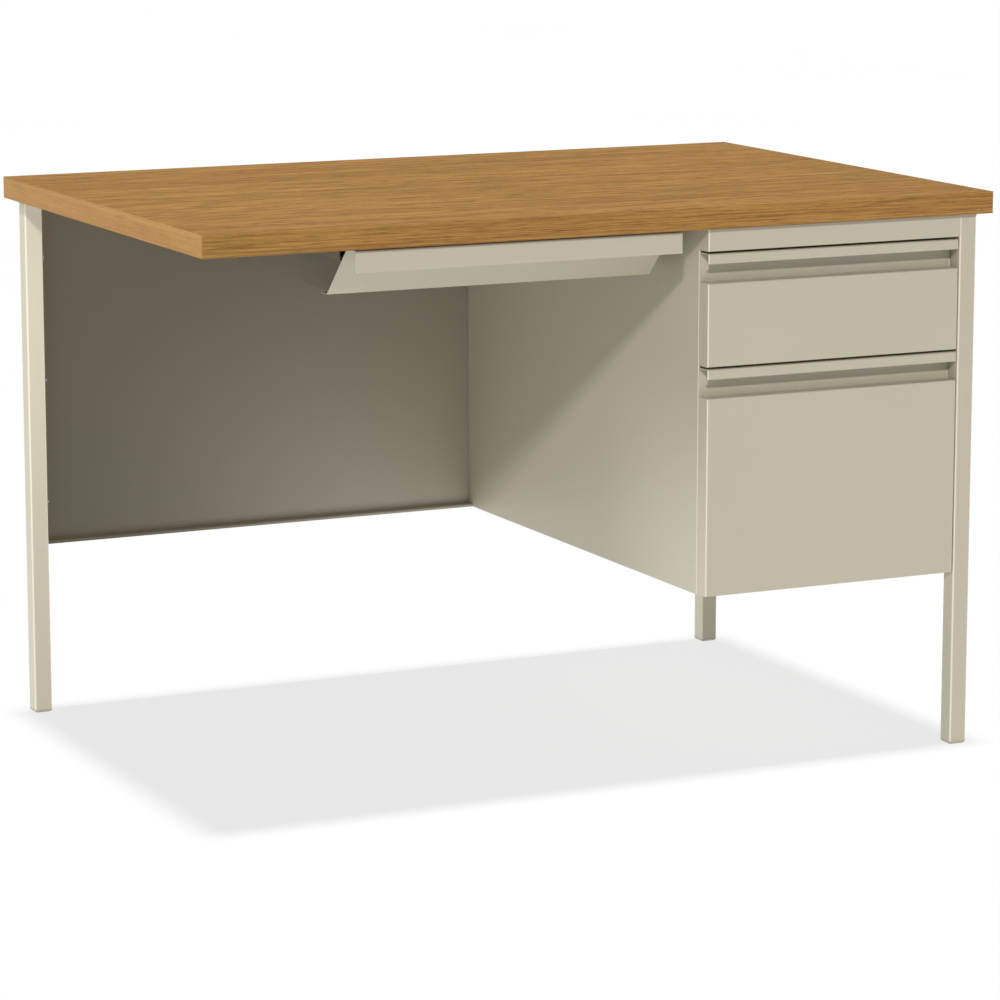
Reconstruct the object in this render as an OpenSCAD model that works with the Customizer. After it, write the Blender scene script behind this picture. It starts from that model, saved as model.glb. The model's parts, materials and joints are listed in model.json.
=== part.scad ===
// Single-pedestal teacher desk: laminate worktop on three square tube legs, a
// full-width modesty panel, a shallow centre drawer, and a pedestal with a box
// drawer over a file drawer. Millimetres. X runs to the right (the pedestal
// side), Y to the back, Z up. The origin is on the floor, under the middle of
// the worktop.

/* [Worktop] */
// Width of the worktop, left to right
top_w = 1120; // [1100:5:1160]
// Depth of the worktop, front to back
top_d = 740; // [720:5:780]
// Height of the work surface above the floor
top_h = 749; // [740:1:760]
// Thickness of the worktop with its two laminates
top_t = 29; // [25:0.5:32]
// Thickness of the decorative laminate
laminate_t = 0.8; // [0.6:0.1:1.2]
// Thickness of the plain backing sheet
backer_t = 0.6; // [0.4:0.1:0.8]
// Thickness of the edge bands
band_t = 2; // [1:0.5:3]

/* [Legs] */
// Outside of the square leg tube
leg_size = 25; // [22:1:28]
// Wall of the leg tube
leg_wall = 1.5; // [1:0.25:1.75]
// Radius of the leg tube's corners
leg_corner = 2.5; // [2:0.25:3.5]
// From the worktop's side edge in to the leg
side_overhang = 20; // [10:1:24]
// From the worktop's front edge in to the leg
front_overhang = 8; // [4:1:12]
// From the worktop's back edge in to the leg
back_overhang = 3; // [3:1:8]
// Height of the foot that shows under the tube
foot_h = 4; // [3:0.5:6]

/* [Pedestal] */
// Width of the drawer fronts
front_w = 375; // [370:1:390]
// Underside of the pedestal above the floor
pedestal_z = 237; // [230:1:240]
// Height of the fixed rail above the drawers
rail_h = 30; // [28:1:34]
// Height of the box drawer's front
box_front_h = 147; // [145:1:150]
// Gap between the fronts
front_gap = 3; // [2:0.5:3.5]
// Height of the finger pull at the top of each front
pull_h = 38; // [36:1:42]
// Height of the pull's lip
lip_h = 13.5; // [10:0.5:16]
// Length of the drawer trays and their slides
tray_l = 600; // [520:10:620]

/* [Centre drawer] */
// Width of the centre drawer's front
centre_w = 455; // [430:1:460]
// From the centre drawer's front to the pedestal
centre_gap = 38; // [30:1:45]
// Height of the strip that shows under the worktop
strip_h = 28; // [24:1:30]
// Depth of the centre drawer below its top flange
centre_h = 65; // [60:1:70]
// Length of the centre drawer, from its sloped front
centre_l = 400; // [380:5:420]

/* [Sheet steel] */
// Thickness of the folded sheets
sheet = 1; // [0.8:0.1:1.2]
// Width of the folded flanges
flange = 12; // [11:0.5:13]
// Radius of the bends, to the middle of the sheet
bend_r = 1.5; // [1.2:0.1:1.8]
// Thickness of the slide members
slide_t = 1.2; // [1:0.1:1.4]

/* [Hidden] */

$fn = 32;

// colours
putty = [0.78, 0.75, 0.66];
oak = [0.76, 0.56, 0.32];
chipboard = [0.72, 0.62, 0.46];
kraft = [0.42, 0.33, 0.24];
zinc = [0.72, 0.73, 0.75];
nylon = [0.9, 0.9, 0.87];

// main planes
under_z = top_h - top_t;                  // underside of the worktop
face_y = -top_d / 2 + front_overhang;     // legs, rail and drawer fronts
rear_y = top_d / 2 - back_overhang;       // back faces of legs and panel
leg_out_x = top_w / 2 - side_overhang;    // outer faces of the legs
leg_in_x = leg_out_x - leg_size;          // inner faces of the legs
carcase_y = face_y + leg_size;            // front edges of the pedestal box
end_gap = 2;                              // drawer front to the leg
ped_x0 = leg_in_x - end_gap - front_w;    // outer face of the left side
ped_x1 = leg_in_x;                        // outer face of the right side
slip = 0.5;                               // drawer front to the carcase
half = sheet / 2;                         // sheet's face to its middle
corner_r = bend_r + half;                 // outside radius of a bend
bend_steps = 5;                           // flats in a bend's arc

// drawer fronts, from the worktop down
front_x0 = ped_x0;
front_x1 = ped_x0 + front_w;
pan_y = carcase_y - slip;                 // back of the front pans
rail_z = under_z - rail_h;
box_z1 = rail_z - front_gap;
box_z0 = box_z1 - box_front_h;
file_z1 = box_z0 - front_gap;
file_z0 = pedestal_z + sheet;

// drawer trays and their slides
slide_w = 12.7;                           // carcase side to tray side
slide_h = 45;                             // height of the outer member
tray_rise = 8;                            // front's lower edge up to the tray
box_tray_h = 118;
file_tray_h = 272;
tray_x0 = ped_x0 + sheet + slide_w;
tray_x1 = ped_x1 - sheet - slide_w;
tray_y1 = pan_y + tray_l;
box_tray_z0 = box_z0 + tray_rise;
box_tray_z1 = box_tray_z0 + box_tray_h;
file_tray_z0 = file_z0 + tray_rise;
file_tray_z1 = file_tray_z0 + file_tray_h;
box_slide_z = box_tray_z0 + 48;           // middle height of the box slides
file_slide_z = file_tray_z0 + 160;        // middle height of the file slides
hem = 3;                                  // returns on the tray's edges
front_tab = 11;                           // tray's tabs on the drawer front
lip_hem = 6;                              // returns on the lips' lower edges
notch_x = 3;                              // left side's notches for the slides
notch_h = slide_h + 4;
folder_span = 312;                        // between the hanging rails

// centre drawer
centre_x1 = ped_x0 - centre_gap;
centre_x0 = centre_x1 - centre_w;
centre_z1 = under_z - 2;                  // top of its front flange
centre_z0 = centre_z1 - centre_h;
slope_y1 = face_y + leg_size + sheet;     // where the slope leaves the flange
slope_sum = slope_y1 + centre_z1;         // y + z along the 45 degree slope
slope_skin = sheet * sqrt(2);             // the slope's thickness along y
runner_w = 14;                            // tray side in from the front's end
runner_h = 20;
runner_lip_z = under_z - runner_h;
centre_tray_z = centre_z0 + sheet;        // underside of the tray's floor
centre_flange_z = runner_lip_z + 4;       // underside of the tray's flange
centre_y1 = slope_y1 + centre_l;
centre_tx0 = centre_x0 + runner_w;
centre_tx1 = centre_x1 - runner_w;
centre_skin = slope_sum + slope_skin;     // y + z along the slope's inner face

// fasteners
screw_r = 2;
screw_hole_r = 2.15;
head_r = 4;
head_h = 2.2;
bite = 15;                                // screw length into the worktop
bolt_r = 2.5;
bolt_hole_r = 2.6;
plate_t = 3;
plate_w = 60;

// left front corners of the plates welded on the legs
plate_at = [
    [-leg_out_x, rear_y - plate_w],
    [leg_out_x - plate_w, rear_y - plate_w],
    [leg_out_x - plate_w, face_y]
];

// stiffening channels under the worktop
channel_w = 40;
channel_lip = 14;
channel_h = 20;
channel_lip_at = [channel_lip / 2, channel_w + channel_lip * 3 / 2]; // middles of the lips
left_channel_x = -leg_out_x + 105;
left_channel_y0 = face_y + 190;
cross_y = centre_y1 + 45;

// screws up into the worktop: [x, y, thickness of the sheet below it]
side_screw_y = [for (i = [0:3]) carcase_y + 55 + i * 190];
worktop_screw_at = concat(
    [for (y = side_screw_y) [ped_x0 + flange / 2 + sheet, y, sheet]],
    [for (y = side_screw_y) [ped_x1 - flange / 2 - sheet, y, sheet]],
    [for (x = [ped_x0 + 70, ped_x0 + 190, ped_x0 + 310]) [x, carcase_y - 12, sheet]],
    [for (i = [0:3]) [-leg_in_x + 90 + i * 160, rear_y - 14, sheet]],
    [for (x = channel_lip_at) for (i = [0:3])
        [left_channel_x + x, left_channel_y0 + 25 + i * 150, sheet]],
    [for (y = channel_lip_at) for (i = [0:2]) [ped_x0 - 50 - i * 190, cross_y + y, sheet]],
    [for (x = [centre_x0 - flange / 2, centre_x1 + flange / 2]) for (i = [0:2])
        [x, slope_y1 + 40 + i * 160, sheet]],
    [[-leg_out_x + plate_w - 10, rear_y - plate_w + 12, plate_t]],
    [[-leg_out_x + 12, rear_y - plate_w + 12, plate_t]],
    [[leg_out_x - 12, rear_y - plate_w + 12, plate_t]],
    [[leg_out_x - 12, face_y + plate_w - 12, plate_t]]
);

// heights of the bolts that hold the legs
bolt_z = [pedestal_z + 60, pedestal_z + 230, pedestal_z + 400];
// the bolts' seats: [x, y, z, turn about Z of a bolt that points along +X]
bolt_at = concat(
    [for (z = bolt_z) [-leg_in_x + sheet, rear_y - leg_size / 2, z, 180]],
    [for (z = bolt_z) [ped_x1 - sheet, rear_y - leg_size / 2, z, 0]],
    [for (z = bolt_z) [leg_in_x + leg_size / 2, carcase_y + sheet, z, -90]],
    [[leg_in_x - sheet, face_y + leg_size / 2, rail_z + rail_h / 2, 0]]
);

// screws through the back: [x, z]
back_screw_at = [
    for (x = [ped_x0 + flange / 2 + sheet, ped_x1 - flange / 2 - sheet])
        for (z = [pedestal_z + 45, pedestal_z + 240, under_z - 45]) [x, z]
];

/* ---- helpers ---- */

function unit(v) = v / norm(v);
function left_of(v) = [-v.y, v.x];
function turned(v, a) = [v.x * cos(a) - v.y * sin(a), v.x * sin(a) + v.y * cos(a)];

// the arc of radius r that rounds the corner a, p, b: pairs of a point and the
// unit normal to the left of the way along it
function bend(a, p, b, r) =
    let (
        u = unit(p - a),
        v = unit(b - p),
        angle = atan2(cross(u, v), u * v),
        side = sign(angle),
        centre = p - u * r * tan(abs(angle) / 2) + side * r * left_of(u)
    )
    [for (i = [0:bend_steps])
        let (out = turned(-side * left_of(u), angle * i / bend_steps))
        [centre + r * out, -side * out]];

// the middle line of a folded sheet, with an arc at each inner point of the path
function middle_line(path, r) =
    let (last = len(path) - 1)
    concat(
        [[path[0], left_of(unit(path[1] - path[0]))]],
        [for (i = [1:last - 1]) each bend(path[i - 1], path[i], path[i + 1], r)],
        [[path[last], left_of(unit(path[last] - path[last - 1]))]]
    );

// a closed outline with its corners rounded, each by its own radius or by none
function rounded(points, radii) =
    let (n = len(points))
    [for (i = [0:n - 1])
        each radii[i] == 0
            ? [points[i]]
            : [for (q = bend(points[(i + n - 1) % n], points[i], points[(i + 1) % n], radii[i])) q[0]]];

// the section of a sheet folded along a path
module folded(path, t = sheet, r = bend_r) {
    line = middle_line(path, r);
    polygon(concat(
        [for (q = line) q[0] + q[1] * t / 2],
        [for (i = [len(line) - 1:-1:0]) line[i][0] - line[i][1] * t / 2]
    ));
}

// a rectangle between two corners, with the same radius at its four corners
module rounded_rect(a, b, r) {
    polygon(rounded([a, [b.x, a.y], b, [a.x, b.y]], [r, r, r, r]));
}

// extrudes a drawing of [x, y] along Z
module along_z(z0, z1) {
    translate([0, 0, z0]) linear_extrude(z1 - z0) children();
}

// a box between two corners
module block(a, b) {
    translate(a) cube(b - a);
}

// a rectangle between two corners
module rect(a, b) {
    translate(a) square(b - a);
}

// extrudes a drawing of [y, z] along X
module along_x(x0, x1) {
    translate([x0, 0, 0]) rotate([90, 0, 90]) linear_extrude(x1 - x0) children();
}

// extrudes a drawing of [x, z] along Y
module along_y(y0, y1) {
    translate([0, y1, 0]) rotate([90, 0, 0]) linear_extrude(y1 - y0) children();
}

// mirrors its children about the pedestal's middle plane
module other_side() {
    middle = (ped_x0 + ped_x1) / 2;
    translate([2 * middle, 0, 0]) mirror([1, 0, 0]) children();
}

// mirrors its children about the centre drawer's middle plane
module other_end() {
    translate([centre_x0 + centre_x1, 0, 0]) mirror([1, 0, 0]) children();
}

// holes for the worktop screws, from z0 to z1
module worktop_screw_holes(z0, z1) {
    for (s = worktop_screw_at)
        translate([s.x, s.y, z0]) cylinder(h = z1 - z0, r = screw_hole_r);
}

// holes for the leg bolts, through the panel and the tube wall
module bolt_holes() {
    for (b = bolt_at)
        translate([b.x, b.y, b.z]) rotate([0, 0, b[3]])
            translate([-1, 0, 0]) rotate([0, 90, 0])
                cylinder(h = sheet + leg_wall + 2, r = bolt_hole_r);
}

// holes for the screws through the back
module back_screw_holes() {
    for (s = back_screw_at)
        translate([s.x, rear_y + 1, s.y]) rotate([90, 0, 0])
            cylinder(h = 3 * sheet + 2, r = screw_hole_r);
}

// a pan-head screw along +Z, its head under the origin
module screw(length) {
    translate([0, 0, -head_h]) cylinder(h = head_h, r = head_r);
    cylinder(h = length - screw_r, r = screw_r);
    translate([0, 0, length - screw_r]) cylinder(h = screw_r, r1 = screw_r, r2 = 0.6);
}

/* ---- worktop ---- */

module worktop_core() {
    z0 = under_z + backer_t;
    color(chipboard) difference() {
        block([-top_w / 2 + band_t, -top_d / 2 + band_t, z0],
              [top_w / 2 - band_t, top_d / 2 - band_t, top_h - laminate_t]);
        worktop_screw_holes(z0 - 1, under_z + bite + 1);
    }
}

module worktop_laminate() {
    color(oak) block([-top_w / 2 + band_t, -top_d / 2 + band_t, top_h - laminate_t],
                     [top_w / 2 - band_t, top_d / 2 - band_t, top_h]);
}

module worktop_backer() {
    color(kraft) difference() {
        block([-top_w / 2 + band_t, -top_d / 2 + band_t, under_z],
              [top_w / 2 - band_t, top_d / 2 - band_t, under_z + backer_t]);
        worktop_screw_holes(under_z - 1, under_z + backer_t + 1);
    }
}

// a band along the front (side = -1) or the back (side = 1), full length
module long_band(side) {
    y = side * (top_d / 2 - band_t / 2);
    color(oak) block([-top_w / 2, y - band_t / 2, under_z],
                     [top_w / 2, y + band_t / 2, top_h]);
}

// a band along the left (side = -1) or the right (side = 1), between the others
module short_band(side) {
    x = side * (top_w / 2 - band_t / 2);
    color(oak) block([x - band_t / 2, -top_d / 2 + band_t, under_z],
                     [x + band_t / 2, top_d / 2 - band_t, top_h]);
}

/* ---- legs and feet ---- */

// a square tube from the foot to the plate, its left front corner at [x, y]
module leg(x, y) {
    wall = [leg_wall, leg_wall];
    color(putty) difference() {
        along_z(foot_h, under_z - plate_t) difference() {
            rounded_rect([x, y], [x + leg_size, y + leg_size], leg_corner);
            rounded_rect([x, y] + wall, [x + leg_size, y + leg_size] - wall, leg_corner - leg_wall);
        }
        bolt_holes();
    }
}

// a moulded foot: a plug inside the tube and a sole with chamfered edges
module foot(x, y) {
    chamfer = foot_h * 0.7;
    plug_w = leg_size - 2 * leg_wall;
    plug_h = 22;
    plug_wall = 2.5;
    color(putty) translate([x, y, 0]) {
        intersection() {
            along_z(0, foot_h) rounded_rect([0, 0], [leg_size, leg_size], leg_corner);
            along_y(0, leg_size) foot_outline(chamfer);
            along_x(0, leg_size) foot_outline(chamfer);
        }
        translate([leg_wall, leg_wall, 0]) along_z(foot_h, foot_h + plug_h) difference() {
            rounded_rect([0, 0], [plug_w, plug_w], leg_corner - leg_wall);
            translate([plug_wall, plug_wall]) square(plug_w - 2 * plug_wall);
        }
    }
}

// side view of the sole
module foot_outline(chamfer) {
    polygon([
        [chamfer, 0], [leg_size - chamfer, 0],
        [leg_size, chamfer], [leg_size, foot_h], [0, foot_h], [0, chamfer]
    ]);
}

// plates welded on the legs, screwed to the worktop
module leg_plates() {
    color(putty) difference() {
        for (p = plate_at)
            block([p.x, p.y, under_z - plate_t], [p.x + plate_w, p.y + plate_w, under_z]);
        worktop_screw_holes(under_z - plate_t - 1, under_z + 1);
        // room for the modesty panel's flange and the pedestal's sheets
        block([-leg_in_x, rear_y - 2 * flange - sheet, under_z - plate_t - 1],
              [leg_in_x, rear_y + 1, under_z + 1]);
        block([ped_x0 - 1, face_y - 1, under_z - plate_t - 1],
              [ped_x1, rear_y + 1, under_z + 1]);
    }
}

/* ---- panels ---- */

// the modesty panel: one sheet across the whole back. Along the knee space it has
// a top flange, and a bottom flange that ends in a lip; a flange at its left end
// lies against the leg
module modesty_panel() {
    x0 = -leg_in_x;
    x1 = leg_in_x;
    y1 = rear_y - half;
    top_flange = 2 * flange;
    bottom_flange = 17;
    lip = 4;
    color(putty) difference() {
        union() {
            along_x(x0, ped_x0) folded([
                [rear_y - top_flange, under_z - half],
                [y1, under_z - half],
                [y1, pedestal_z + lip - half],
                [rear_y - bottom_flange + half, pedestal_z + lip - half],
                [rear_y - bottom_flange + half, pedestal_z]
            ]);
            along_x(ped_x0, x1) rect([rear_y - sheet, pedestal_z], [rear_y, under_z]);
            along_x(x0, x0 + sheet) polygon(rounded(
                [[rear_y - top_flange, pedestal_z + lip - sheet], [rear_y, pedestal_z + lip - sheet],
                 [rear_y, under_z], [rear_y - top_flange, under_z]],
                [0, corner_r, corner_r, 0]
            ));
        }
        worktop_screw_holes(under_z - sheet - 1, under_z + 1);
        bolt_holes();
        back_screw_holes();
    }
}

// the pedestal's left side: flanges along its top, bottom and back, and one at
// its front with notches for the slides
module pedestal_side_left() {
    x = ped_x0 + half;
    y1 = rear_y - sheet;
    back_path = [[ped_x0 + flange, y1 - half], [x, y1 - half]];
    front_path = [[x, carcase_y + half], [ped_x0 + flange - 1, carcase_y + half]];
    color(putty) difference() {
        union() {
            along_z(pedestal_z, rail_z) folded(concat(back_path, front_path));
            along_z(rail_z, under_z) folded(concat(back_path, [[x, carcase_y]]));
            for (z = [pedestal_z, under_z - sheet])
                block([x, carcase_y + corner_r, z], [x + flange, y1 - corner_r, z + sheet]);
        }
        for (z = [box_slide_z, file_slide_z])
            block([ped_x0 + notch_x, carcase_y - 1, z - notch_h / 2],
                  [ped_x0 + flange, carcase_y + 2 * sheet, z + notch_h / 2]);
        worktop_screw_holes(under_z - sheet - 1, under_z + 1);
        back_screw_holes();
    }
}

// the pedestal's right side: flanges as on the left, and one out behind the
// front leg
module pedestal_side_right() {
    x = ped_x1 - half;
    y1 = rear_y - sheet;
    back_path = [[ped_x1 - flange, y1 - half], [x, y1 - half]];
    color(putty) difference() {
        union() {
            along_z(pedestal_z, under_z - plate_t)
                folded(concat(back_path, [[x, carcase_y + half], [leg_out_x - 1, carcase_y + half]]));
            along_z(under_z - plate_t, under_z)
                folded(concat(back_path, [[x, carcase_y + corner_r]]));
            for (z = [pedestal_z, under_z - sheet])
                block([x - flange, carcase_y + corner_r, z], [x, y1 - corner_r, z + sheet]);
        }
        worktop_screw_holes(under_z - sheet - 1, under_z + 1);
        bolt_holes();
        back_screw_holes();
    }
}

// the pedestal's back, inside the modesty panel
module pedestal_back() {
    y1 = rear_y - 2 * sheet;
    color(putty) difference() {
        block([ped_x0 + sheet + bend_r, y1 - sheet, pedestal_z + 2 * sheet],
              [ped_x1 - sheet - bend_r, y1, under_z - sheet]);
        back_screw_holes();
    }
}

// the pedestal's floor, on the sides' bottom flanges
module pedestal_bottom() {
    color(putty) block([ped_x0 + sheet, carcase_y + corner_r, pedestal_z + sheet],
                       [ped_x1 - sheet, rear_y - 2 * sheet - bend_r, pedestal_z + 2 * sheet]);
}

// the fixed rail above the drawers: a channel with a return on the left side
// panel and a tab on the front leg
module pedestal_top_rail() {
    end_outline = rounded(
        [[face_y, rail_z], [face_y, under_z], [carcase_y, under_z], [carcase_y, rail_z]],
        [corner_r, corner_r, 0, 0]
    );
    color(putty) difference() {
        intersection() {
            union() {
                along_x(ped_x0, leg_in_x) folded([
                    [face_y + 18, rail_z + half],
                    [face_y + half, rail_z + half],
                    [face_y + half, under_z - half],
                    [carcase_y - 1, under_z - half]
                ]);
                along_x(ped_x0, ped_x0 + sheet) polygon(end_outline);
                along_x(leg_in_x - sheet, leg_in_x) polygon(end_outline);
            }
            along_z(rail_z, under_z) polygon(rounded(
                [[ped_x0, face_y], [leg_in_x, face_y], [leg_in_x, carcase_y], [ped_x0, carcase_y]],
                [corner_r, 0, 0, 0]
            ));
        }
        worktop_screw_holes(under_z - sheet - 1, under_z + 1);
        bolt_holes();
    }
}

// the cross rail behind the gap between the two fronts
module pedestal_middle_rail() {
    z0 = file_tray_z1 + 6;
    z1 = box_tray_z0 - 3;
    y0 = carcase_y + sheet;
    color(putty) along_x(ped_x0 + sheet + bend_r, ped_x1 - sheet) folded([
        [y0 + 18, z0 + half], [y0 + half, z0 + half], [y0 + half, z1 - half], [y0 + 18, z1 - half]
    ]);
}

/* ---- channels under the worktop ---- */

// section of a hat channel, its lips against the worktop
module hat_section() {
    x0 = channel_lip - half;
    x1 = channel_lip + channel_w + half;
    z0 = half - channel_h;
    folded([[0, -half], [x0, -half], [x0, z0], [x1, z0], [x1, -half],
            [2 * channel_lip + channel_w, -half]]);
}

// front to back, behind the unsupported corner
module stiffener_left() {
    color(putty) difference() {
        along_y(left_channel_y0, rear_y - 2 * flange - 1)
            translate([left_channel_x, under_z]) hat_section();
        worktop_screw_holes(under_z - sheet - 1, under_z + 1);
    }
}

// left to right, from the pedestal to the left channel
module stiffener_cross() {
    x0 = left_channel_x + 2 * channel_lip + channel_w;
    color(putty) difference() {
        along_x(x0, ped_x0) translate([cross_y, under_z]) hat_section();
        worktop_screw_holes(under_z - sheet - 1, under_z + 1);
    }
}

// the left runner of the centre drawer: an outward flange on the worktop, a web,
// and an inward lip that carries the drawer
module centre_runner() {
    y0 = slope_y1 + runner_h + 5;
    y1 = centre_y1 + 30;
    x = centre_x0 + half;
    color(putty) difference() {
        along_y(y0, y1) folded([
            [centre_x0 - flange, under_z - half], [x, under_z - half],
            [x, runner_lip_z + half], [centre_x0 + flange - 1, runner_lip_z + half]
        ]);
        worktop_screw_holes(under_z - sheet - 1, under_z + 1);
        other_end() worktop_screw_holes(under_z - sheet - 1, under_z + 1);
    }
}

/* ---- fasteners ---- */

module worktop_screws() {
    color(zinc) for (s = worktop_screw_at)
        translate([s.x, s.y, under_z - s.z]) screw(s.z + bite);
}

module back_screws() {
    color(zinc) for (s = back_screw_at)
        translate([s.x, rear_y, s.y]) rotate([90, 0, 0]) screw(8);
}

// hexagon-head bolts, along each seat's own direction
module leg_bolts() {
    color(zinc) for (b = bolt_at)
        translate([b.x, b.y, b.z]) rotate([0, 0, b[3]]) rotate([0, 90, 0]) {
            translate([0, 0, -3.5]) cylinder(h = 3.5, r = 4.6, $fn = 6);
            cylinder(h = 12, r = bolt_r);
        }
}

// threaded inserts set inside the tubes
module leg_rivet_nuts() {
    seat = sheet + leg_wall;
    color(zinc) for (b = bolt_at)
        translate([b.x, b.y, b.z]) rotate([0, 0, b[3]]) rotate([0, 90, 0])
            translate([0, 0, seat]) difference() {
                cylinder(h = 8, r = 4.5);
                translate([0, 0, -1]) cylinder(h = 10, r = bolt_r);
            }
}

/* ---- telescopic slides ---- */

// section of one member: a channel of height h with its web at x0 and its two
// arms reaching to x1; x1 may lie on either side
module member_section(x0, x1, h) {
    web = x0 + sign(x1 - x0) * slide_t / 2;
    arm = (h - slide_t) / 2;
    folded([[x1, -arm], [web, -arm], [web, arm], [x1, arm]], slide_t, slide_t);
}

slide_x = ped_x0 + sheet;

// the member on the carcase
module slide_outer(z) {
    color(zinc) along_y(carcase_y + 3, carcase_y + 3 + tray_l)
        translate([slide_x, z]) member_section(0, 8, slide_h);
}

// the member between, which moves half as far as the drawer
module slide_middle(z) {
    color(zinc) along_y(carcase_y + 3, carcase_y + 3 + tray_l)
        translate([slide_x, z]) member_section(3, 10.4, slide_h - 6);
}

// the member on the tray, with its screw holes
module slide_inner(z) {
    color(zinc) difference() {
        along_y(pan_y + sheet + 1, tray_y1 - 3)
            translate([slide_x, z]) member_section(slide_w, 5.6, slide_h - 13);
        slide_screw_holes(z);
    }
}

slide_screw_y = [for (i = [0:2]) pan_y + 60 + i * 220];

module slide_screw_holes(z) {
    for (y = slide_screw_y)
        translate([tray_x0 - 3, y, z]) rotate([0, 90, 0]) cylinder(h = 8, r = screw_hole_r);
}

/* ---- pedestal drawers ---- */

// section of a folded drawer front, [y, z]: a bottom return, the face, a ledge,
// the recess behind the pull, and the pull's lip with its hem
module front_section(z0, z1) {
    face = face_y + half;
    back = pan_y - half;
    ledge_z = z1 - pull_h;
    folded([
        [pan_y, z0 + half], [face, z0 + half], [face, ledge_z - half], [back, ledge_z - half],
        [back, z1 - half], [face, z1 - half], [face, z1 - lip_h + half],
        [face_y + lip_hem, z1 - lip_h + half]
    ]);
}

// a drawer front: the folded sheet, closed at both ends below the ledge
module drawer_front(z0, z1) {
    end_outline = rounded(
        [[face_y, z0], [face_y, z1 - pull_h], [pan_y, z1 - pull_h], [pan_y, z0]],
        [corner_r, corner_r, 0, 0]
    );
    color(putty) intersection() {
        union() {
            along_x(front_x0, front_x1) front_section(z0, z1);
            for (x = [front_x0, front_x1 - sheet])
                along_x(x, x + sheet) polygon(end_outline);
        }
        along_z(z0, z1) polygon(rounded(
            [[front_x0, face_y], [front_x1, face_y], [front_x1, pan_y], [front_x0, pan_y]],
            [corner_r, corner_r, 0, 0]
        ));
    }
}

// the sheet that closes the front's back
module inner_front(z0, z1, screw_z) {
    color(putty) difference() {
        block([front_x0 + sheet, pan_y - sheet, z0 + sheet],
              [front_x1 - sheet, pan_y, z1 - pull_h - sheet]);
        front_screw_holes(screw_z);
    }
}

front_screw_x = [tray_x0 + half + front_tab / 2, tray_x1 - half - front_tab / 2];

module front_screw_holes(screw_z) {
    for (x = front_screw_x)
        for (z = screw_z)
            translate([x, pan_y + 3, z]) rotate([90, 0, 0]) cylinder(h = 6, r = screw_hole_r);
}

// a tray folded from one sheet: floor, two sides with hems, and front tabs
module drawer_tray(z0, z1, slide_z, screw_z) {
    x0 = tray_x0 + half;
    x1 = tray_x1 - half;
    color(putty) difference() {
        union() {
            along_y(pan_y, tray_y1) folded([
                [tray_x0 + hem, z1 - half], [x0, z1 - half], [x0, z0 + half],
                [x1, z0 + half], [x1, z1 - half], [tray_x1 - hem, z1 - half]
            ]);
            for (x = [x0, x1 - front_tab])
                block([x, pan_y, z0 + corner_r], [x + front_tab, pan_y + sheet, z1 - corner_r]);
        }
        front_screw_holes(screw_z);
        slide_screw_holes(slide_z);
        other_side() slide_screw_holes(slide_z);
    }
}

// the tray's back, folded forward at its ends
module drawer_back(z0, z1) {
    x0 = tray_x0 + sheet;
    x1 = tray_x1 - sheet;
    y = tray_y1 - half;
    fold = 14;
    color(putty) {
        along_z(z0 + sheet + bend_r, z1 - 2 * sheet)
            folded([[x0 + half, y - fold], [x0 + half, y], [x1 - half, y], [x1 - half, y - fold]]);
        block([x0 + corner_r, tray_y1 - sheet, z0 + sheet],
              [x1 - corner_r, tray_y1, z0 + sheet + bend_r]);
    }
}

// screws of the front and of both slides
module drawer_screws(slide_z, screw_z) {
    color(zinc) {
        for (x = front_screw_x)
            for (z = screw_z)
                translate([x, pan_y + sheet, z]) rotate([90, 0, 0]) screw(8);
        for (y = slide_screw_y) {
            translate([tray_x0 + sheet, y, slide_z]) rotate([0, -90, 0]) screw(4);
            other_side() translate([tray_x0 + sheet, y, slide_z]) rotate([0, -90, 0]) screw(4);
        }
    }
}

box_screw_z = [box_tray_z0 + 20, box_tray_z0 + 88];
file_screw_z = [file_tray_z0 + 40, file_tray_z0 + 125, file_tray_z0 + 210];

// a rail for hanging folders, from the front to the back wall of the tray
module hanging_rail(side) {
    middle = (tray_x0 + tray_x1) / 2;
    rail_t = 2;
    x = side < 0 ? middle - folder_span / 2 - rail_t : middle + folder_span / 2;
    color(zinc) block([x, pan_y, file_tray_z1 - 22], [x + rail_t, tray_y1 - sheet, file_tray_z1 - 4]);
}

/* ---- centre drawer ---- */

// the front: a hemmed strip, a flange under the worktop, a 45 degree slope and a
// return under the tray
module centre_drawer_front() {
    strip_z0 = centre_z1 - strip_h;
    middle_sum = slope_sum + slope_skin / 2;
    low_y = middle_sum - centre_z0 - half;
    color(putty) along_x(centre_x0, centre_x1) folded([
        [face_y + lip_hem, strip_z0 + half],
        [face_y + half, strip_z0 + half],
        [face_y + half, centre_z1 - half],
        [middle_sum - centre_z1 + half, centre_z1 - half],
        [low_y, centre_z0 + half],
        [low_y + 20, centre_z0 + half]
    ]);
}

// the tray's floor, on the front's return
module centre_drawer_floor() {
    color(putty) block([centre_tx0, centre_skin - centre_tray_z + bend_r, centre_tray_z],
                       [centre_tx1, centre_y1, centre_tray_z + sheet]);
}

// the tray's sides: they stand on the floor, follow the slope and carry outward
// flanges
module centre_drawer_sides() {
    z0 = centre_tray_z + sheet;
    z1 = centre_flange_z + sheet;
    flange_w = runner_w - 3 * sheet;
    color(putty) {
        for (x = [centre_tx0, centre_tx1 - sheet])
            along_x(x, x + sheet) polygon([
                [centre_skin - z0 + bend_r, z0], [centre_y1, z0],
                [centre_y1, z1], [centre_skin - z1 + bend_r, z1]
            ]);
        for (x = [centre_tx0 - flange_w, centre_tx1 - sheet])
            block([x, centre_skin - centre_flange_z + 12, centre_flange_z],
                  [x + flange_w + sheet, centre_y1, z1]);
    }
}

module centre_drawer_back() {
    color(putty) block([centre_tx0 + sheet, centre_y1 - sheet, centre_tray_z + sheet],
                       [centre_tx1 - sheet, centre_y1, centre_flange_z + sheet]);
}

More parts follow.
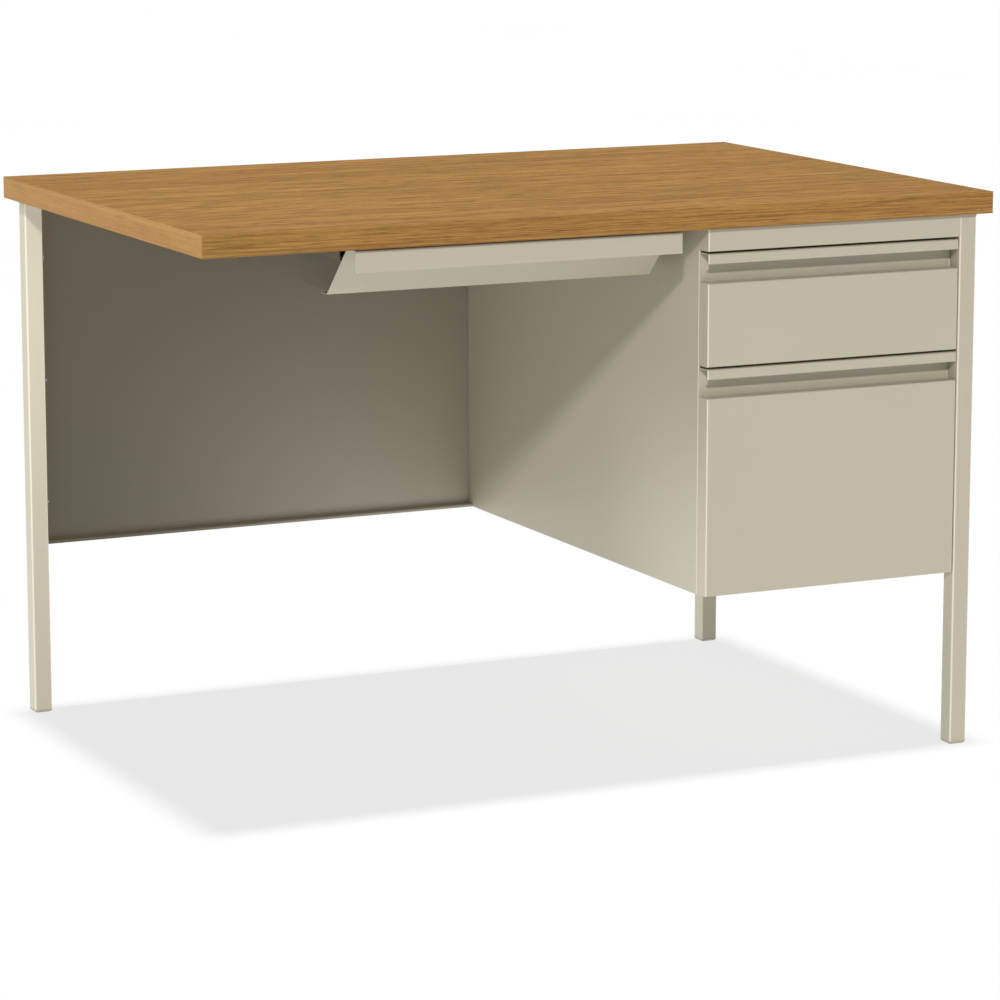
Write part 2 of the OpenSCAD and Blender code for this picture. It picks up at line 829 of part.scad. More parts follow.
// pads under the tray's flanges, which slide on the runners
module centre_drawer_glides() {
    pad_l = 30;
    clearance = 0.4;
    z0 = runner_lip_z + sheet + clearance;
    color(nylon) for (y = [centre_y1 - pad_l, slope_y1 + 50])
        for (x = [centre_x0 + 4, centre_tx1])
            block([x, y, z0], [x + 9, y + pad_l, centre_flange_z]);
}

worktop_core();
worktop_laminate();
worktop_backer();
long_band(-1);  // edge_band_front
long_band(1);  // edge_band_back
short_band(-1);  // edge_band_left
short_band(1);  // edge_band_right
leg(-leg_out_x, rear_y - leg_size);  // leg_back_left
leg(leg_in_x, rear_y - leg_size);  // leg_back_right
leg(leg_in_x, face_y);  // leg_front_right
leg_plates();
foot(-leg_out_x, rear_y - leg_size);  // foot_back_left
foot(leg_in_x, rear_y - leg_size);  // foot_back_right
foot(leg_in_x, face_y);  // foot_front_right
modesty_panel();
pedestal_side_left();
pedestal_side_right();
pedestal_back();
pedestal_bottom();
pedestal_top_rail();
pedestal_middle_rail();
stiffener_left();
stiffener_cross();
centre_runner();  // centre_runner_left
other_end() centre_runner();  // centre_runner_right
worktop_screws();
back_screws();
leg_bolts();
leg_rivet_nuts();
slide_outer(box_slide_z);  // box_slide_outer_left
other_side() slide_outer(box_slide_z);  // box_slide_outer_right
slide_middle(box_slide_z);  // box_slide_middle_left
other_side() slide_middle(box_slide_z);  // box_slide_middle_right
slide_inner(box_slide_z);  // box_slide_inner_left
other_side() slide_inner(box_slide_z);  // box_slide_inner_right
drawer_front(box_z0, box_z1);  // box_drawer_front
inner_front(box_z0, box_z1, box_screw_z);  // box_drawer_inner_front
drawer_tray(box_tray_z0, box_tray_z1, box_slide_z, box_screw_z);  // box_drawer_tray
drawer_back(box_tray_z0, box_tray_z1);  // box_drawer_back
drawer_screws(box_slide_z, box_screw_z);  // box_drawer_screws
slide_outer(file_slide_z);  // file_slide_outer_left
other_side() slide_outer(file_slide_z);  // file_slide_outer_right
slide_middle(file_slide_z);  // file_slide_middle_left
other_side() slide_middle(file_slide_z);  // file_slide_middle_right
slide_inner(file_slide_z);  // file_slide_inner_left
other_side() slide_inner(file_slide_z);  // file_slide_inner_right
drawer_front(file_z0, file_z1);  // file_drawer_front
inner_front(file_z0, file_z1, file_screw_z);  // file_drawer_inner_front
drawer_tray(file_tray_z0, file_tray_z1, file_slide_z, file_screw_z);  // file_drawer_tray
drawer_back(file_tray_z0, file_tray_z1);  // file_drawer_back
drawer_screws(file_slide_z, file_screw_z);  // file_drawer_screws
hanging_rail(-1);  // hanging_rail_left
hanging_rail(1);  // hanging_rail_right
centre_drawer_front();
centre_drawer_floor();
centre_drawer_sides();
centre_drawer_back();
centre_drawer_glides();
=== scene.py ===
"""The looks of a single-pedestal teacher desk: putty powder coat, an oak laminate worktop, zinc slides
and screws, and a plain pale studio. Metres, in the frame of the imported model."""

import json
import math

import bmesh
import bpy
from mathutils import Matrix, Vector


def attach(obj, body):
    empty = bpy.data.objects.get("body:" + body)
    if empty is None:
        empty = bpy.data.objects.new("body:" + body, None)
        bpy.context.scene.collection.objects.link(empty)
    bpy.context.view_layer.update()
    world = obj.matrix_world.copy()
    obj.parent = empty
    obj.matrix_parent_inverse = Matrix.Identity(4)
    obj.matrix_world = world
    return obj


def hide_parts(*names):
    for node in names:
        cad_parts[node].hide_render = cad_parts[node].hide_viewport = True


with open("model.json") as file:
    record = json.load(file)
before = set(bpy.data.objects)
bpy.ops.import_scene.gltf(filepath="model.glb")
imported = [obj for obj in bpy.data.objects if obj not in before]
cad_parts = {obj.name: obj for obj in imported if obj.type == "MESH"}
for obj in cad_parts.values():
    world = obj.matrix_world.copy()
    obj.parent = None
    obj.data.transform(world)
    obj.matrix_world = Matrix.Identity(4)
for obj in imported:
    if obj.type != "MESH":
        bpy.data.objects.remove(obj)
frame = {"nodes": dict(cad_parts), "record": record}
bpy.context.view_layer.update()
nodes = frame["nodes"]

MM = 0.001
WELD = 0.005 * MM                              # points closer than this are one point


# ---- node helpers ----

class Shader:
    """A material's node tree, with short ways to add nodes and to join them."""

    def __init__(self, name):
        self.material = bpy.data.materials.new(name)
        self.material.use_nodes = True
        self.tree = self.material.node_tree
        self.surface = self.tree.nodes["Principled BSDF"]

    def add(self, kind, settings=None, **inputs):
        """Adds a node. Inputs are named with underscores for spaces, and may be sockets."""
        node = self.tree.nodes.new(kind)
        for key, value in (settings or {}).items():
            setattr(node, key, value)
        for key, value in inputs.items():
            self.put(node, key.replace("_", " "), value)
        return node

    def put(self, node, name, value):
        """Sets an input by its name or its number, or joins a socket to it."""
        if name.startswith("in "):
            socket = node.inputs[int(name[3:])]
        else:
            socket = node.inputs[name]
        if isinstance(value, bpy.types.NodeSocket):
            self.tree.links.new(value, socket)
        else:
            socket.default_value = value

    def coords(self, scale=(1, 1, 1), turn=(0, 0, 0)):
        """Object coordinates, turned and then stretched."""
        place = self.add("ShaderNodeTexCoord").outputs["Object"]
        turned = self.add("ShaderNodeMapping", Vector=place, Rotation=turn).outputs[0]
        return self.add("ShaderNodeMapping", Vector=turned, Scale=scale).outputs[0]

    def noise(self, vector, scale=1.0, detail=2.0, roughness=0.5, distortion=0.0):
        node = self.add("ShaderNodeTexNoise", Vector=vector, Scale=scale, Detail=detail,
                        Roughness=roughness, Distortion=distortion)
        return node.outputs["Fac"]

    def ramp(self, factor, *stops):
        """A colour ramp; each stop is (place, colour), and a plain number is a grey."""
        node = self.add("ShaderNodeValToRGB", Fac=factor)
        elements = node.color_ramp.elements
        while len(elements) < len(stops):
            elements.new(0.5)
        for element, (place, colour) in zip(elements, stops):
            element.position = place
            element.color = (*colour, 1) if isinstance(colour, tuple) else (colour,) * 3 + (1,)
        return node.outputs["Color"]

    def blend(self, mode, factor, a, b):
        """Mixes two colours; colours may be tuples or sockets."""
        a, b = [(*c, 1) if isinstance(c, tuple) else c for c in (a, b)]
        node = self.add("ShaderNodeMix", {"data_type": "RGBA", "blend_type": mode},
                        in_0=factor, in_6=a, in_7=b)
        return node.outputs[2]

    def math(self, operation, a, b=0.0):
        return self.add("ShaderNodeMath", {"operation": operation}, in_0=a, in_1=b).outputs[0]

    def span(self, value, low, high):
        """Maps 0..1 to low..high."""
        return self.add("ShaderNodeMapRange", Value=value, To_Min=low, To_Max=high).outputs[0]

    def bump(self, height, depth, strength):
        """The normal of a relief in which a height of 1 stands for depth metres."""
        return self.add("ShaderNodeBump", Height=height, Distance=depth, Strength=strength).outputs[0]

    def finish(self, colour, roughness, normal=None, **plain):
        """Joins the surface's colour, roughness and normal, and sets its plain inputs."""
        self.put(self.surface, "Base Color", colour)
        self.put(self.surface, "Roughness", roughness)
        if normal is not None:
            self.put(self.surface, "Normal", normal)
        for key, value in plain.items():
            self.put(self.surface, key.replace("_", " "), value)
        return self.material


# ---- materials ----

PUTTY = (0.520, 0.478, 0.372)
CORNER_HIGHLIGHT_PUTTY = (0.760, 0.715, 0.590)             # painted highlight along the vertical corners, lighter than the coat


def powder_coat():
    """Putty powder coat: a fine orange peel, faint mottling and specks, slightly uneven gloss, and a
    painted highlight line along the vertical corners."""
    s = Shader("putty_powder_coat")
    place = s.coords()
    mottle = s.noise(place, scale=5.0, detail=3.0)
    specks = s.noise(place, scale=2200.0, detail=1.0)
    tone = s.blend("MIX", mottle, tuple(c * 0.975 for c in PUTTY), tuple(c * 1.025 for c in PUTTY))
    grain = s.ramp(specks, (0.30, 0.93), (0.45, 1.0), (0.62, 1.0), (0.80, 1.05))
    colour = s.blend("MULTIPLY", 1.0, tone, grain)
    # painted highlight: the colour is lifted where the normal turns halfway between X and Y, on the
    # vertical corners
    facing = s.add("ShaderNodeSeparateXYZ",
                   Vector=s.add("ShaderNodeTexCoord").outputs["Normal"]).outputs
    corner = s.math("ABSOLUTE", s.math("MULTIPLY", facing[0], facing[1]))
    thin = s.ramp(corner, (0.12, 0.0), (0.40, 1.0))
    colour = s.blend("MIX", thin, colour, CORNER_HIGHLIGHT_PUTTY)
    peel = s.noise(place, scale=900.0, detail=2.0, roughness=0.6)
    smears = s.noise(place, scale=14.0, detail=4.0, roughness=0.6)
    return s.finish(colour, s.span(smears, 0.36, 0.48), s.bump(peel, 0.00004, 0.35),
                    Specular_IOR_Level=0.45)


OAK_LIGHT = (0.590, 0.318, 0.083)
OAK_MIDDLE = (0.532, 0.274, 0.067)
OAK_DARK = (0.225, 0.101, 0.028)
OAK_PORE = (0.120, 0.048, 0.016)
OLIVE_CAST = (0.985, 1.005, 0.940)             # slow drifts of hue along the figure
PINK_CAST = (1.015, 0.985, 1.020)


def oak(name, along="X", width=1.0, depth=1.0, tone=1.0):
    """Printed oak laminate: colour bands, long streaks, short dashes and pores, all along one axis. Width
    stretches the figure across the grain, depth sets how strong the figure is, and tone darkens the
    whole."""
    s = Shader(name)
    turn = (0, 0, 0) if along == "X" else (0, 0, math.radians(90))
    light, middle, dark, black = (tuple(c * tone for c in colour)
                                  for colour in (OAK_LIGHT, OAK_MIDDLE, OAK_DARK, OAK_PORE))

    def grain(length, across, detail, roughness):
        thin = across / width
        return s.noise(s.coords((length, thin, thin), turn), detail=detail,
                       roughness=roughness, distortion=0.3)

    base = s.ramp(grain(0.7, 16, 3.0, 0.6), (0.30, middle), (0.50, light), (0.70, middle))
    drift = s.ramp(grain(2.6, 22, 2.0, 0.5), (0.35, OLIVE_CAST), (0.65, PINK_CAST))
    base = s.blend("MULTIPLY", 1.0, base, drift)
    streak = s.ramp(grain(1.5, 420, 5.0, 0.70), (0.42, 0.0), (0.66, min(1.0, 0.55 * depth)))
    colour = s.blend("MIX", streak, base, dark)
    dash = s.ramp(grain(15, 440, 4.0, 0.72), (0.47, 0.0), (0.66, min(1.0, 0.66 * depth)))
    colour = s.blend("MIX", dash, colour, dark)
    pore = s.ramp(grain(45, 1300, 2.0, 0.5), (0.56, 0.0), (0.72, min(1.0, 0.55 * depth)))
    colour = s.blend("MIX", pore, colour, black)
    height = s.math("SUBTRACT", 1.0, s.math("ADD", s.math("MULTIPLY", dash, 0.5), pore))
    polish = s.noise(s.coords((3, 3, 3)), detail=3.0)
    return s.finish(colour, s.span(polish, 0.48, 0.60), s.bump(height, 0.00008, 0.4),
                    Specular_IOR_Level=0.2)


CHIP_PALE = (0.66, 0.50, 0.30)
CHIP_DARK = (0.42, 0.28, 0.15)
PAPER_DARK = (0.150, 0.088, 0.046)
PAPER_PALE = (0.205, 0.128, 0.070)
ZINC_BLUE = (0.56, 0.585, 0.61)
ZINC_GREY = (0.68, 0.69, 0.70)
ZINC_YELLOW = (0.70, 0.68, 0.60)
FOOT_PUTTY = (0.44, 0.41, 0.32)
NYLON_WHITE = (0.80, 0.79, 0.74)
ROLLING_ALONG, ROLLING_ACROSS = 4, 1500        # scale of the rolling lines along and across them


def particle_board():
    """Pressed wood chips of mixed tones, with the dark glue lines between them."""
    s = Shader("pressed_chips")
    place = s.coords((1, 1, 1.6))
    chips = s.add("ShaderNodeTexVoronoi", Vector=place, Scale=420.0, Randomness=1.0)
    tone = s.ramp(chips.outputs["Distance"], (0.1, CHIP_PALE), (0.7, CHIP_DARK))
    mixed = s.blend("OVERLAY", 0.35, tone, chips.outputs["Color"])
    fine = s.noise(place, scale=1500.0, detail=3.0)
    return s.finish(mixed, s.span(fine, 0.75, 0.95), s.bump(chips.outputs["Distance"], 0.0003, 0.7))


def backing_paper():
    """Plain brown phenolic backing sheet with faint sanding lines."""
    s = Shader("backing_sheet")
    cloud = s.noise(s.coords(), scale=16.0, detail=5.0, roughness=0.65)
    lines = s.noise(s.coords((8, 900, 900)), detail=2.0)
    tone = s.ramp(cloud, (0.3, PAPER_DARK), (0.7, PAPER_PALE))
    colour = s.blend("MULTIPLY", 1.0, tone, s.ramp(lines, (0.3, 0.86), (0.7, 1.06)))
    return s.finish(colour, s.span(lines, 0.55, 0.72), s.bump(lines, 0.00005, 0.4))


def zinc(name, along="Y", rough=(0.24, 0.38)):
    """Bright zinc plate: rolling lines along one axis, and cloudy passivation."""
    s = Shader(name)
    stretch = tuple(ROLLING_ALONG if axis == along else ROLLING_ACROSS for axis in "XYZ")
    lines = s.noise(s.coords(stretch), detail=2.0)
    cloud = s.noise(s.coords(), scale=45.0, detail=4.0, roughness=0.7)
    tone = s.ramp(cloud, (0.3, ZINC_BLUE), (0.55, ZINC_GREY), (0.75, ZINC_YELLOW))
    spread = s.math("ADD", s.math("MULTIPLY", lines, 0.6), s.math("MULTIPLY", cloud, 0.4))
    return s.finish(tone, s.span(spread, *rough), s.bump(lines, 0.00002, 0.5), Metallic=1.0)


def moulded(name, colour, rough):
    """Moulded plastic with a spark-eroded grain and faint flow marks."""
    s = Shader(name)
    flow = s.noise(s.coords((1, 1, 3)), scale=60.0, detail=3.0)
    grain = s.noise(s.coords(), scale=2600.0, detail=2.0)
    tone = s.blend("MIX", flow, tuple(c * 0.95 for c in colour), tuple(c * 1.04 for c in colour))
    return s.finish(tone, s.span(flow, rough - 0.05, rough + 0.07), s.bump(grain, 0.00006, 0.5),
                    Specular_IOR_Level=0.4)


LOOKS = {
    "putty_paint": powder_coat(),
    "oak_laminate": oak("oak_laminate", width=1.9, depth=1.4),
    "oak_edge_band": oak("oak_edge_long", width=0.7, depth=1.2, tone=0.80),
    "particle_board": particle_board(),
    "backing_sheet": backing_paper(),
    "foot_plastic": moulded("foot_plastic", FOOT_PUTTY, 0.55),
    "slide_zinc": zinc("rolled_zinc"),
    "screw_zinc": zinc("turned_zinc", along="Z", rough=(0.20, 0.34)),
    "nylon": moulded("white_nylon", NYLON_WHITE, 0.42),
}
CROSS_BANDS = ("edge_band_left", "edge_band_right")
cross_oak = oak("oak_edge_cross", along="Y", width=0.7, depth=0.7, tone=0.80)

# radius of the eased edges, by the material slot
EDGES = {"putty_paint": 0.28 * MM, "oak_edge_band": 0.5 * MM, "oak_laminate": 0.15 * MM}
OTHER_EDGE = 0.2 * MM
SHARP_ANGLE = math.radians(32)


def smoother():
    """Geometry nodes that shade bends smooth and keep corners sharp."""
    group = bpy.data.node_groups.new("smooth_bends", "GeometryNodeTree")
    group.interface.new_socket("Geometry", in_out="INPUT", socket_type="NodeSocketGeometry")
    group.interface.new_socket("Geometry", in_out="OUTPUT", socket_type="NodeSocketGeometry")
    add, join = group.nodes.new, group.links.new
    start, end = add("NodeGroupInput"), add("NodeGroupOutput")
    angle, small = add("GeometryNodeInputMeshEdgeAngle"), add("FunctionNodeCompare")
    edges, faces = add("GeometryNodeSetShadeSmooth"), add("GeometryNodeSetShadeSmooth")
    small.data_type, small.operation = "FLOAT", "LESS_THAN"
    small.inputs[1].default_value = SHARP_ANGLE
    edges.domain, faces.domain = "EDGE", "FACE"
    join(angle.outputs["Unsigned Angle"], small.inputs[0])
    join(start.outputs[0], edges.inputs["Geometry"])
    join(small.outputs[0], edges.inputs["Shade Smooth"])
    join(edges.outputs[0], faces.inputs["Geometry"])
    join(faces.outputs[0], end.inputs[0])
    return group


smooth_bends = smoother()


def ease(obj, radius):
    """Welds the imported faces together, eases the sharp edges, and shades the bends smooth while the
    large faces beside them stay flat."""
    weld = obj.modifiers.new("weld", "WELD")
    weld.merge_threshold = WELD
    bevel = obj.modifiers.new("eased_edges", "BEVEL")
    bevel.width = radius
    bevel.segments = 2
    bevel.limit_method = "ANGLE"
    bevel.angle_limit = SHARP_ANGLE
    smooth = obj.modifiers.new("smooth_bends", "NODES")
    smooth.node_group = smooth_bends
    flats = obj.modifiers.new("flat_faces", "WEIGHTED_NORMAL")
    flats.keep_sharp = True


def dress_nodes():
    """Gives every CAD node its material and its eased edges."""
    slots = {row["node"]: row["material_slot"] for row in frame["record"]["subparts"]}
    for name, obj in nodes.items():
        slot = slots[name]
        look = cross_oak if name in CROSS_BANDS else LOOKS[slot]
        for place in obj.material_slots:
            place.material = look
        if not ("screws" in name or "bolts" in name or "nuts" in name):
            ease(obj, EDGES.get(slot, OTHER_EDGE))


dress_nodes()


# ---- fasteners ----

SIDES = 24
TIP_R = 0.6 * MM
THREAD_DEPTH = 0.45 * MM
RINGS_PER_TURN = 4
DOME_RINGS = 6
PAN_FLAT, PAN_RIM = 0.55, 0.35                 # shares of the head's radius and of its height
HEX_TOP = 0.95                                 # the turned circle, as a share of the half width
HEX_CHAMFER = math.radians(30)
RECESS_TOP, RECESS_FLOOR = (0.55, 0.13), (0.22, 0.07)    # reach and half width, shares of the radius
RECESS_LEFT = 0.35                             # what the recess leaves of the head's height
OVERSHOOT = 0.2 * MM                           # how far the cutter stands out of the head
HEAD_REACH = 1.4                               # points over this many shank radii out are on the head
PAN_HEAD = {"height": 2.2 * MM, "radius": 4.0 * MM, "shank": 2.0 * MM, "pitch": 1.3 * MM}
HEX_HEAD = {"height": 3.5 * MM, "radius": 4.6 * MM, "shank": 2.5 * MM, "pitch": 0.9 * MM}
FASTENERS = {                                  # CAD node: its body and the shape of its heads
    "worktop_screws": ("desk", PAN_HEAD),
    "back_screws": ("desk", PAN_HEAD),
    "leg_bolts": ("desk", HEX_HEAD),
    "box_drawer_screws": ("box_drawer", PAN_HEAD),
    "file_drawer_screws": ("file_drawer", PAN_HEAD),
}


def around(radius_at, z):
    """One ring of points; radius_at gives the radius at an angle, and z may be a function too."""
    angles = [2 * math.pi * i / SIDES for i in range(SIDES)]
    return [Vector((radius_at(a) * math.cos(a), radius_at(a) * math.sin(a), z(a) if callable(z) else z))
            for a in angles]


def skin(rings):
    """A closed mesh over rings of points, capped at both ends."""
    mesh = bmesh.new()
    rows = [[mesh.verts.new(point) for point in ring] for ring in rings]
    for low, high in zip(rows, rows[1:]):
        for i in range(len(low)):
            j = (i + 1) % len(low)
            mesh.faces.new((low[i], low[j], high[j], high[i]))
    mesh.faces.new(reversed(rows[0]))
    mesh.faces.new(rows[-1])
    bmesh.ops.recalc_face_normals(mesh, faces=mesh.faces)
    done = bpy.data.meshes.new("part")
    mesh.to_mesh(done)
    mesh.free()
    return done


def thread_rings(shape, length):
    """A shank with a true helical thread, from its tip down to the head at z = 0."""
    step = shape["pitch"] / RINGS_PER_TURN
    count = round(length / step)
    rings = []
    for k in range(count, -1, -1):
        z = length * k / count
        room = min(1.0, (length - z) / shape["shank"])
        crest = TIP_R + (shape["shank"] - TIP_R) * room

        def radius(angle, z=z, crest=crest, room=room):
            wave = abs(2 * ((z / shape["pitch"] + angle / (2 * math.pi)) % 1.0) - 1)
            return crest - THREAD_DEPTH * wave * room

        rings.append(around(radius, z))
    return rings


def pan_rings(shape):
    """A pan head: a short rim, and a dome up to a small flat."""
    flat_r, rim_h = PAN_FLAT * shape["radius"], PAN_RIM * shape["height"]
    rings = [around(lambda a: shape["radius"], 0.0), around(lambda a: shape["radius"], -rim_h)]
    for i in range(1, DOME_RINGS + 1):
        rise = math.radians(90 * i / DOME_RINGS)
        r = flat_r + (shape["radius"] - flat_r) * math.cos(rise)
        rings.append(around(lambda a, r=r: r, -rim_h - (shape["height"] - rim_h) * math.sin(rise)))
    return rings


def hex_rings(shape):
    """A hexagon head with the turned chamfer on its top, two of its corners on the Y axis."""
    inner = shape["radius"] * math.cos(math.pi / 6)

    def hexagon(angle):
        return inner / math.cos((angle + math.pi / 6) % (math.pi / 3) - math.pi / 6)

    def chamfered(angle):
        return -shape["height"] + (hexagon(angle) - HEX_TOP * inner) * math.tan(HEX_CHAMFER)

    top = around(lambda a: HEX_TOP * inner, -shape["height"])
    return [around(hexagon, 0.0), around(hexagon, chamfered), top]


def plus_ring(reach, width, z):
    """The outline of a cross of two bars."""
    quarter = [(reach, -width), (reach, width), (width, width)]
    points = []
    for turn in range(4):
        c, s = round(math.cos(turn * math.pi / 2)), round(math.sin(turn * math.pi / 2))
        points += [Vector((x * c - y * s, x * s + y * c, z)) for x, y in quarter]
    return points


def with_recess(mesh, shape):
    """Cuts a tapered cross recess into the top of a head."""
    top, floor = -shape["height"] - OVERSHOOT, -RECESS_LEFT * shape["height"]
    cutter = skin([plus_ring(*(share * shape["radius"] for share in RECESS_FLOOR), floor),
                   plus_ring(*(share * shape["radius"] for share in RECESS_TOP), top)])
    body, tool = (bpy.data.objects.new(name, data) for name, data in (("head", mesh), ("tool", cutter)))
    for obj in (body, tool):
        bpy.context.scene.collection.objects.link(obj)
    cut = body.modifiers.new("recess", "BOOLEAN")
    cut.object = tool
    cut.solver = "EXACT"
    result = bpy.data.meshes.new_from_object(body.evaluated_get(bpy.context.evaluated_depsgraph_get()))
    for obj in (body, tool):
        bpy.data.objects.remove(obj)
    return result


def fastener_mesh(shape, length):
    """One fastener along +Z, its head under the origin."""
    head = hex_rings(shape) if shape is HEX_HEAD else pan_rings(shape)
    mesh = skin(thread_rings(shape, length) + head)
    return mesh if shape is HEX_HEAD else with_recess(mesh, shape)


def islands(mesh):
    """The points of each separate solid of a mesh, in a fixed order."""
    welded = bmesh.new()
    welded.from_mesh(mesh)
    bmesh.ops.remove_doubles(welded, verts=welded.verts, dist=WELD)
    welded.verts.index_update()
    seen, groups = set(), []
    for start in welded.verts:
        if start.index in seen:
            continue
        seen.add(start.index)
        open_ends, group = [start], []
        while open_ends:
            vert = open_ends.pop()
            group.append(vert.co.copy())
            for edge in vert.link_edges:
                other = edge.other_vert(vert)
                if other.index not in seen:
                    seen.add(other.index)
                    open_ends.append(other)
        groups.append(group)
    welded.free()
    return groups


def seat_of(points, shape):
    """Where a fastener sits: the middle of its seat, its direction and its shank's length."""
    low = Vector(min(p[i] for p in points) for i in range(3))
    high = Vector(max(p[i] for p in points) for i in range(3))
    size, middle = high - low, (low + high) / 2
    usual = sorted(size)[1]
    axis = max(range(3), key=lambda i: abs(size[i] - usual))
    others = [i for i in range(3) if i != axis]
    reach = HEAD_REACH * shape["shank"]
    wide = [p for p in points if math.hypot(*(p[i] - middle[i] for i in others)) > reach]
    head_low = sum(p[axis] for p in wide) / len(wide) < middle[axis]
    way = Vector((0, 0, 0))
    way[axis] = 1.0 if head_low else -1.0
    seat = middle.copy()
    seat[axis] = (low if head_low else high)[axis] + way[axis] * shape["height"]
    return seat, way, round(size[axis] - shape["height"], 5)


def make_fasteners():
    """Stands detailed fasteners in for the plain ones, one piece for each CAD node."""
    made = {}
    for name, (body, shape) in FASTENERS.items():
        joined = bmesh.new()
        for points in islands(nodes[name].data):
            seat, way, length = seat_of(points, shape)
            kind = (shape["height"], length)
            if kind not in made:
                made[kind] = fastener_mesh(shape, length)
            one = made[kind].copy()
            one.transform(Matrix.Translation(seat) @ way.to_track_quat("Z", "Y").to_matrix().to_4x4())
            joined.from_mesh(one)
            bpy.data.meshes.remove(one)
        mesh = bpy.data.meshes.new(name + "_detailed")
        joined.to_mesh(mesh)
        joined.free()
        mesh.materials.append(LOOKS["screw_zinc"])
        piece = bpy.data.objects.new(name + "_detailed", mesh)
        bpy.context.scene.collection.objects.link(piece)
        piece.modifiers.new("smooth_bends", "NODES").node_group = smooth_bends
        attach(piece, body)
        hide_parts(name)


make_fasteners()


# ---- studio ----

WHITE = (1.0, 1.0, 1.0)
DOWN = Vector((0, 0, -1))
# distant lights: direction of travel, strength, apparent size in degrees, and colour
KEY = (Vector((0.568, 1.0, -0.648)), 1.66, 4.5, (1.0, 0.985, 0.96))
FILL = (Vector((1.0, -0.85, -0.50)), 1.85, 20, (0.97, 0.99, 1.0))
TOP = (DOWN, 1.15, 12, WHITE)
OVERHEAD = (DOWN, 6.3, 4.5, WHITE)
# soft cards: place, the point it faces, size, and watts
KNEE_CARD = (Vector((0.09, -0.02, 0.14)), Vector((-0.10, 0.366, 0.45)), 0.4, 0.80)
LEG_CARD = (Vector((-0.53, -0.08, 0.56)), Vector((-0.53, 0.35, 0.56)), 0.3, 0.75)
FLOOR_REACH = 30.0
FLOOR_GLOW = 0.780
SKY_LIGHT, SKY_SEEN = 0.20, 1.0                # the sky's strength on the desk, and to the camera
IN_THE_SHADE = ("modesty_panel", "centre_drawer_sides", "centre_drawer_floor", "centre_runner_left",
                "centre_runner_right")


def studio_floor():
    """A wide pale floor. It glows a little, so it stays white where no light reaches it."""
    mesh = bpy.data.meshes.new("floor")
    far = FLOOR_REACH
    corners = [(-far, -far, 0), (far, -far, 0), (far, far, 0), (-far, far, 0)]
    mesh.from_pydata(corners, [], [(0, 1, 2, 3)])
    floor = bpy.data.objects.new("floor", mesh)
    bpy.context.scene.collection.objects.link(floor)
    s = Shader("floor_white")
    s.finish(s.ramp(s.noise(s.coords(), scale=0.7), (0.0, 0.095), (1.0, 0.105)), 0.9,
             Emission_Color=(*WHITE, 1), Emission_Strength=FLOOR_GLOW, Specular_IOR_Level=0.0)
    mesh.materials.append(s.material)
    return floor


def sun(name, way, strength, angle, colour):
    """A distant light that travels along way; angle is its apparent size in degrees."""
    data = bpy.data.lights.new(name, "SUN")
    data.energy = strength
    data.angle = math.radians(angle)
    data.color = colour
    light = bpy.data.objects.new(name, data)
    light.rotation_mode = "QUATERNION"
    light.rotation_quaternion = way.to_track_quat("-Z", "Y")
    bpy.context.scene.collection.objects.link(light)
    return light


def card(name, place, aim, size, watts):
    """A square soft light that the camera doesn't see."""
    data = bpy.data.lights.new(name, "AREA")
    data.energy = watts
    data.size = size
    light = bpy.data.objects.new(name, data)
    light.location = place
    light.rotation_mode = "QUATERNION"
    light.rotation_quaternion = (aim - place).to_track_quat("-Z", "Y")
    light.visible_camera = False
    bpy.context.scene.collection.objects.link(light)
    return light


def only_on(light, name, objects):
    """Lets a light shine on some objects only."""
    group = bpy.data.collections.new(name)
    for obj in objects:
        group.objects.link(obj)
    light.light_linking.receiver_collection = group


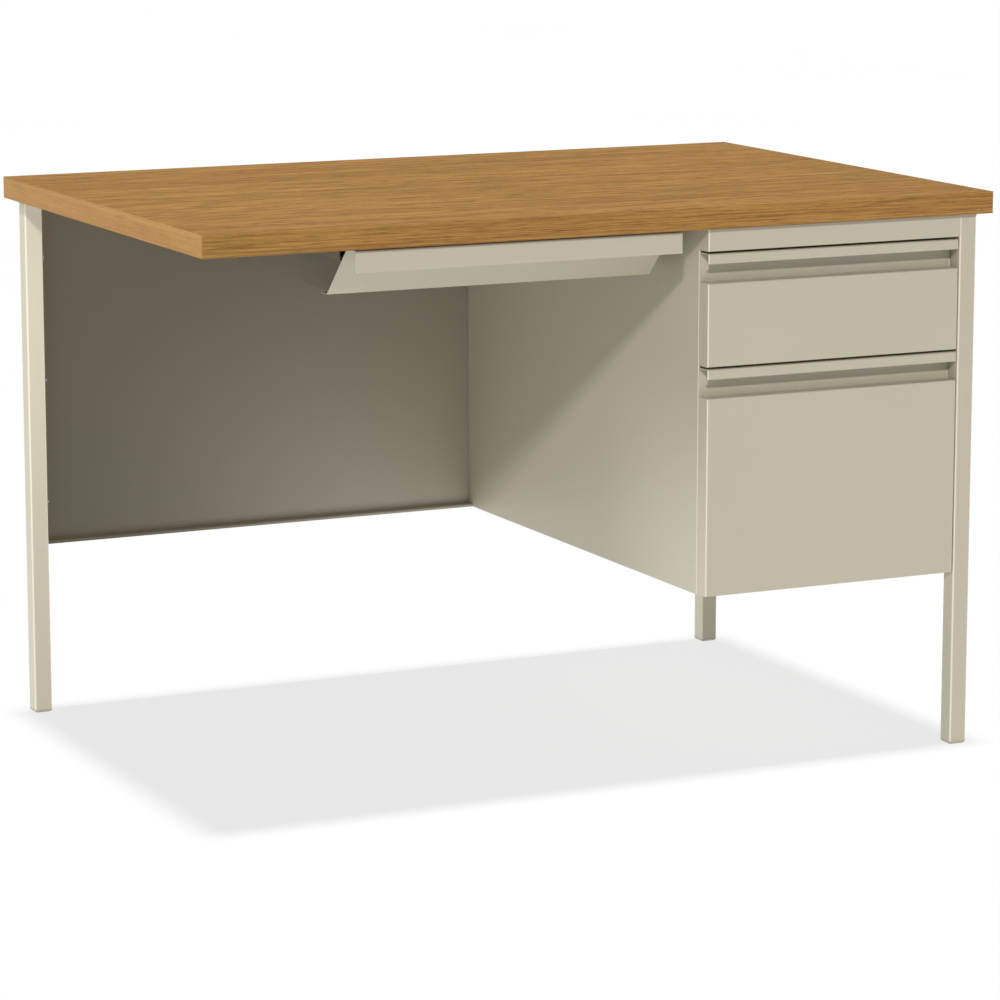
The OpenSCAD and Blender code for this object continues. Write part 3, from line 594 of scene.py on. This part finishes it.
def studio():
    """A key from the front left, a fill from the back left, overhead light and the glow of the floor.
    What stands deep in the worktop's shade has a soft card of its own instead of the floor's glow, the
    modesty panel has no key either, and the far left leg has one more card."""
    floor = studio_floor()
    desk = [obj for obj in bpy.data.objects if obj.type == "MESH" and obj is not floor]
    shaded = [nodes[name] for name in IN_THE_SHADE]
    open_parts = [obj for obj in desk if obj not in shaded]
    not_panel = [obj for obj in desk if obj is not nodes["modesty_panel"]]
    only_on(sun("key", *KEY), "key_lit", not_panel)
    only_on(sun("fill", *FILL), "fill_lit", desk)
    only_on(sun("top", *TOP), "top_lit", desk)
    only_on(sun("overhead", *OVERHEAD), "floor_lit", [floor])
    only_on(card("card", *KNEE_CARD), "card_lit", shaded)
    only_on(card("leg_card", *LEG_CARD), "leg_card_lit", [nodes["leg_back_left"]])
    only_on(floor, "glow_lit", [floor] + open_parts)


def sky():
    """A white backdrop for the camera that lights the desk more weakly than it looks."""
    world = bpy.data.worlds.new("sky")
    world.use_nodes = True
    bpy.context.scene.world = world
    tree = world.node_tree
    seen = tree.nodes.new("ShaderNodeLightPath").outputs["Is Camera Ray"]
    level = tree.nodes.new("ShaderNodeMapRange")
    level.inputs["To Min"].default_value = SKY_LIGHT
    level.inputs["To Max"].default_value = SKY_SEEN
    tree.links.new(seen, level.inputs["Value"])
    tree.links.new(level.outputs[0], tree.nodes["Background"].inputs["Strength"])
    tree.nodes["Background"].inputs["Color"].default_value = (*WHITE, 1)


CAMERA_AT = Vector((-2.340, -4.921, 1.340))
CAMERA_YAW = 0.4463                            # from +Y towards +X, in radians
CAMERA_PITCH = 0.1856                          # down, in radians
CAMERA_LENS = 146.5                            # millimetres
CAMERA_SEES = 100                              # metres


def camera():
    """The camera at the photograph's viewing angle."""
    data = bpy.data.cameras.new("camera")
    data.lens = CAMERA_LENS
    data.clip_end = CAMERA_SEES
    eye = bpy.data.objects.new("camera", data)
    ahead = Vector((math.sin(CAMERA_YAW) * math.cos(CAMERA_PITCH),
                    math.cos(CAMERA_YAW) * math.cos(CAMERA_PITCH),
                    -math.sin(CAMERA_PITCH)))
    right = Vector((math.cos(CAMERA_YAW), -math.sin(CAMERA_YAW), 0))
    up = right.cross(ahead)
    turn = Matrix((right, up, -ahead)).transposed().to_4x4()
    eye.matrix_world = Matrix.Translation(CAMERA_AT) @ turn
    bpy.context.scene.collection.objects.link(eye)
    bpy.context.scene.camera = eye


studio()
sky()
camera()
bpy.context.scene.view_settings.view_transform = "Standard"
